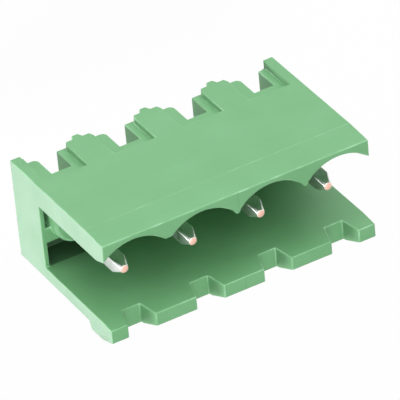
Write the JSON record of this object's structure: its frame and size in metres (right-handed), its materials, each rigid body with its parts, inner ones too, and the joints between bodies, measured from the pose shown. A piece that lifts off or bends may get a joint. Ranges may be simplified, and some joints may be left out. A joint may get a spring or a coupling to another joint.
{
  "type": "pluggable terminal block header",
  "caption": "Open-ended header of a pluggable terminal block, with a scalloped key wall, a notched latch rail and square pins between them.",
  "frame": {"origin": "middle of the contact row, on the contact axes, at the surface of the circuit board", "axes": "+Z away from the board towards the mating edge, +X along the row, +Y towards the scalloped key wall, -Y towards the latch rail"},
  "size_m": [0.0198, 0.008, 0.0155],
  "materials": {
    "housing_plastic": "satin green moulded polyamide",
    "pin_metal": "bright tin plate over copper alloy"
  },
  "bodies": {
    "root": {"housing": "housing_plastic", "pin_1": "pin_metal", "pin_2": "pin_metal", "pin_3": "pin_metal", "pin_4": "pin_metal"}
  },
  "joints": []
}
